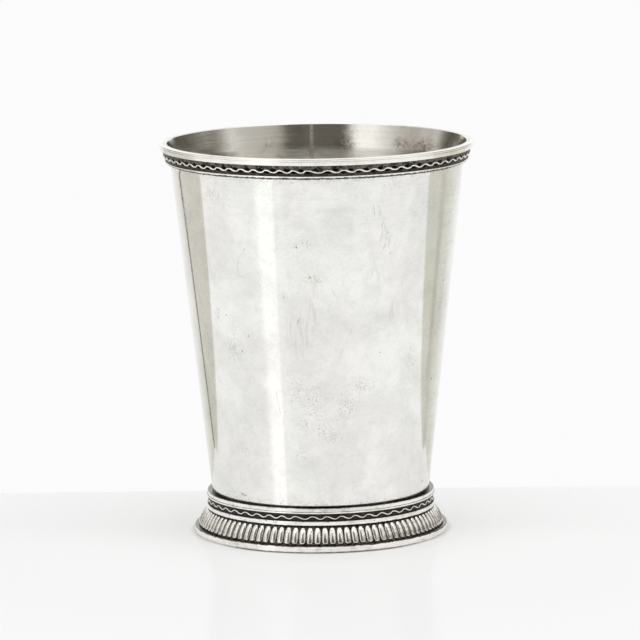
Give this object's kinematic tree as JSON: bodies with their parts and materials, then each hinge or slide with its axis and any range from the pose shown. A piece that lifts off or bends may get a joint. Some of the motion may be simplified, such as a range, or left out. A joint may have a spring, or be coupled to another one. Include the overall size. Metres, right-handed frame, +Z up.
{
  "type": "julep cup",
  "caption": "Tapering metal beaker with an everted mouth, a moulded rim with a waved wire on a dark band, and a spreading foot with the same band over upright lobes. Holds a mixed drink.",
  "frame": {"origin": "centre of the base on the surface that the cup stands on", "axes": "+Z up along the cup's axis; -Y towards the front of the picture, +X to its right"},
  "size_m": [0.0784, 0.0784, 0.098],
  "materials": {
    "polished_silver": "polished silver, softly worn and scratched outside, turned rings inside",
    "moulding_silver": "bright silver with tarnish in the crevices",
    "wire_silver": "bright, rubbed silver",
    "oxidised_silver": "dark oxidised silver, slightly pitted",
    "lobed_silver": "bright silver with black oxide between the lobes"
  },
  "bodies": {
    "root": {"body_wall": "polished_silver", "bottom_disc": "polished_silver", "rim_moulding": "moulding_silver", "rim_band": "oxidised_silver", "rim_wave_wire": "wire_silver", "rim_bead": "moulding_silver", "foot_upper_moulding": "moulding_silver", "foot_band": "oxidised_silver", "foot_wave_wire": "wire_silver", "foot_lower_moulding": "moulding_silver", "fluted_skirt": "lobed_silver", "base_flange": "moulding_silver"}
  },
  "joints": []
}
